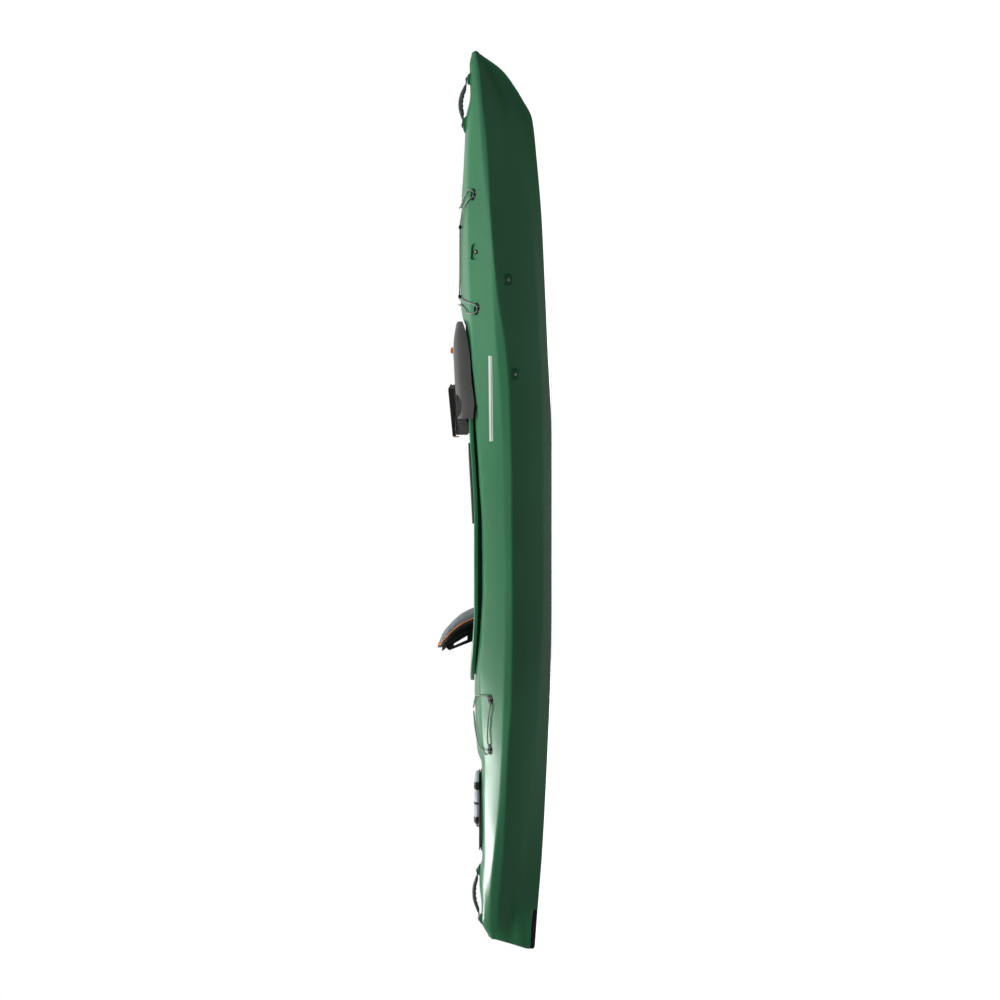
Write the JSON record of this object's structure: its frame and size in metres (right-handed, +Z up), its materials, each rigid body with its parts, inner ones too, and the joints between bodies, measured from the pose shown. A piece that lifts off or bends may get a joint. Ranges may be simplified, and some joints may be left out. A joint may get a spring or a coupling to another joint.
{
  "type": "recreational touring kayak",
  "caption": "Sit-inside recreational touring kayak with padded seat, removable console, rear hatch, foot braces and deck rigging for one paddler.",
  "frame": {"origin": "middle of the bounding box in plan, on the surface the keel rests on", "axes": "+X to the bow, +Y to port, +Z up"},
  "size_m": [3.711, 0.7368, 0.466],
  "materials": {
    "hull_green": "rotomoulded polyethylene, semi-gloss with fine orange peel",
    "console_grey": "moulded plastic, fine grain",
    "dark_plastic": "moulded nylon, satin",
    "grip_slate": "soft-touch moulded grip",
    "orange_plastic": "moulded plastic, satin",
    "seat_fabric": "woven mesh over foam",
    "seat_plastic": "moulded plastic, fine grain",
    "foam_grey": "closed-cell foam",
    "hatch_light": "moulded plastic, semi-gloss",
    "rubber_black": "rubber, matt",
    "bungee_grey": "braided shock cord",
    "stainless": "stainless steel"
  },
  "bodies": {
    "hull": {"accessory_cap_port": "dark_plastic", "accessory_cap_starboard": "dark_plastic", "back_hinge_pin_port": "stainless", "back_hinge_pin_starboard": "stainless", "bow_foam_pillar": "foam_grey", "bow_handle": "grip_slate", "bow_handle_screw_front": "stainless", "bow_handle_screw_rear": "stainless", "brace_screw_port_1": "stainless", "brace_screw_port_2": "stainless", "brace_screw_starboard_1": "stainless", "brace_screw_starboard_2": "stainless", "bungee_bead_port_1": "rubber_black", "bungee_bead_port_2": "rubber_black", "bungee_bead_starboard_1": "rubber_black", "bungee_bead_starboard_2": "rubber_black", "foot_rail_port": "dark_plastic", "foot_rail_starboard": "dark_plastic", "front_bungee": "bungee_grey", "front_eye_port_1": "dark_plastic", "front_eye_port_2": "dark_plastic", "front_eye_starboard_1": "dark_plastic", "front_eye_starboard_2": "dark_plastic", "hatch_rim": "dark_plastic", "hull_shell": "hull_green", "rear_bulkhead": "foam_grey", "rear_bungee": "bungee_grey", "rear_eye_port_1": "dark_plastic", "rear_eye_port_2": "dark_plastic", "rear_eye_starboard_1": "dark_plastic", "rear_eye_starboard_2": "dark_plastic", "seat_base": "seat_plastic", "seat_cushion": "seat_fabric", "skid_plate": "rubber_black", "stern_handle": "grip_slate", "stern_handle_screw_front": "stainless", "stern_handle_screw_rear": "stainless", "thigh_pad_port": "foam_grey", "thigh_pad_starboard": "foam_grey"},
    "backrest": {"back_shell": "seat_plastic", "back_pad": "seat_fabric", "back_frame": "seat_plastic"},
    "pedal_port": {"foot_pedal_port": "dark_plastic"},
    "pedal_starboard": {"foot_pedal_starboard": "dark_plastic"},
    "trigger_port": {"foot_trigger_port": "orange_plastic"},
    "trigger_starboard": {"foot_trigger_starboard": "orange_plastic"},
    "hatch_lid": {"hatch_gasket": "rubber_black", "hatch_cover": "dark_plastic", "hatch_panel": "hatch_light"},
    "console": {"console_body": "console_grey", "console_clip_port_1": "rubber_black", "console_clip_port_2": "rubber_black", "console_clip_starboard_1": "rubber_black", "console_clip_starboard_2": "rubber_black", "lid_hinge_pin": "stainless"},
    "console_lid_body": {"console_lid": "dark_plastic"},
    "lid_latch_body": {"lid_latch": "orange_plastic"},
    "console_release_body": {"console_release": "orange_plastic"}
  },
  "joints": [
    {"name": "backrest_recline", "type": "hinge", "parent": "hull", "child": "backrest", "pos_m": [-0.455, 0, 0.12], "axis": [0, 1, 0], "range_deg": [-6, 50]},
    {"name": "foot_pedal_port_slide", "type": "slide", "parent": "hull", "child": "pedal_port", "axis": [0.9819, -0.1746, 0.0732], "range_m": [-0.13, 0.13]},
    {"name": "foot_pedal_starboard_slide", "type": "slide", "parent": "hull", "child": "pedal_starboard", "axis": [0.9819, 0.1746, 0.0732], "range_m": [-0.13, 0.13]},
    {"name": "foot_trigger_port_hinge", "type": "hinge", "parent": "pedal_port", "child": "trigger_port", "pos_m": [0.68492, 0.23468, 0.15344], "axis": [-0.175, -0.9846, 0], "range_deg": [0, 25], "stiffness_Nm_per_rad": 0.05},
    {"name": "foot_trigger_starboard_hinge", "type": "hinge", "parent": "pedal_starboard", "child": "trigger_starboard", "pos_m": [0.68492, -0.23468, 0.15344], "axis": [0.175, -0.9846, 0], "range_deg": [0, 25], "stiffness_Nm_per_rad": 0.05},
    {"name": "hatch_lift", "type": "slide", "parent": "hull", "child": "hatch_lid", "axis": [0, 0, 1], "range_m": [0, 0.15]},
    {"name": "console_lift", "type": "slide", "parent": "hull", "child": "console", "axis": [0, 0, 1], "range_m": [0, 0.15]},
    {"name": "console_lid_hinge", "type": "hinge", "parent": "console", "child": "console_lid_body", "pos_m": [0.466, 0, 0.4135], "axis": [0, 1, 0], "range_deg": [0, 95]},
    {"name": "lid_latch_hinge", "type": "hinge", "parent": "console_lid_body", "child": "lid_latch_body", "pos_m": [0.2618, 0, 0.4062], "axis": [0, 1, 0], "range_deg": [0, 80]},
    {"name": "console_release_hinge", "type": "hinge", "parent": "console", "child": "console_release_body", "pos_m": [0.6295, 0, 0.4098], "axis": [0, 1, 0], "range_deg": [0, 50]}
  ]
}
